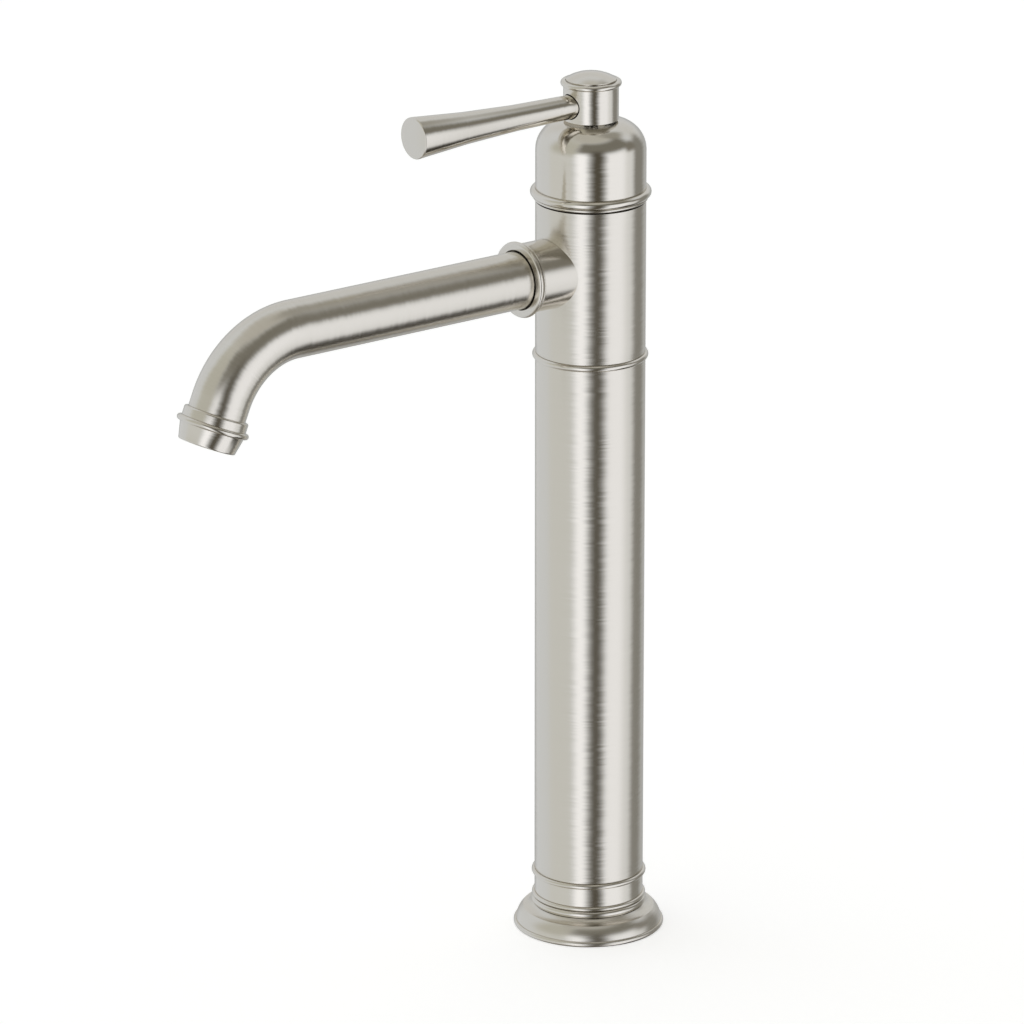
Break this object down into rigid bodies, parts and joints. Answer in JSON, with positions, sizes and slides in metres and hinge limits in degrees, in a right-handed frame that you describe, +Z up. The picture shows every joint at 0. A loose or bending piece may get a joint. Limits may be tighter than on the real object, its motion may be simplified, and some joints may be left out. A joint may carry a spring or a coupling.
{
  "type": "basin faucet",
  "caption": "Tall single-lever basin faucet: round beaded column, long bent spout and a lever on a domed turning cap, with the mixing cartridge inside.",
  "frame": {"origin": "centre of the base, on the face that stands on the deck", "axes": "+Z up the column, spout and lever towards -Y, X to the side"},
  "size_m": [0.0582, 0.2175, 0.3416],
  "materials": {
    "brushed_nickel": "fine circular brushing, satin",
    "brass": "turned",
    "copper": "drawn tube",
    "rubber": "moulded",
    "acetal": "moulded",
    "ceramic": "lapped alumina",
    "stainless_steel": "turned"
  },
  "bodies": {
    "stand": {"base_flange": "brushed_nickel", "base_collar": "brushed_nickel", "column_tube": "brushed_nickel", "mid_ring": "brushed_nickel", "upper_body": "brushed_nickel", "trim_collar": "brushed_nickel", "spout_tube": "brushed_nickel", "nozzle": "brushed_nickel", "inlet_block": "brass", "cartridge_nut": "brass", "hot_supply_tube": "copper", "cold_supply_tube": "copper", "deck_seal": "rubber", "supply_seals": "rubber", "spout_seals": "rubber", "port_seals": "rubber", "aerator_washer": "rubber", "glide_ring": "acetal", "cartridge_housing": "acetal", "cartridge_base": "acetal", "aerator_housing": "acetal", "aerator_plate": "acetal", "fixed_ceramic_disc": "ceramic", "spout_set_screw": "stainless_steel", "aerator_screen": "stainless_steel"},
    "cap": {"turning_cap": "brushed_nickel", "rotor": "acetal", "pivot_pin": "stainless_steel"},
    "lever": {"handle_hub": "brushed_nickel", "hub_button": "brushed_nickel", "hub_screw": "stainless_steel", "lever_rod": "brushed_nickel", "control_stem": "stainless_steel", "splash_shutter": "stainless_steel"},
    "slider": {"moving_ceramic_disc": "ceramic", "disc_carrier": "acetal"}
  },
  "joints": [
    {"name": "temperature", "type": "hinge", "parent": "stand", "child": "cap", "pos_m": [0, 0, 0.2925], "axis": [0, 0, 1], "range_deg": [-45, 45]},
    {"name": "lift", "type": "hinge", "parent": "cap", "child": "lever", "pos_m": [0, 0, 0.2925], "axis": [-1, 0, 0], "range_deg": [0, 14]},
    {"name": "disc_slide", "type": "slide", "parent": "cap", "child": "slider", "axis": [0, -1, 0], "range_m": [0, 0.0015]}
  ],
  "couplings": [
    {"joint": "disc_slide", "follows": "lift", "m_per_rad": 0.006}
  ]
}
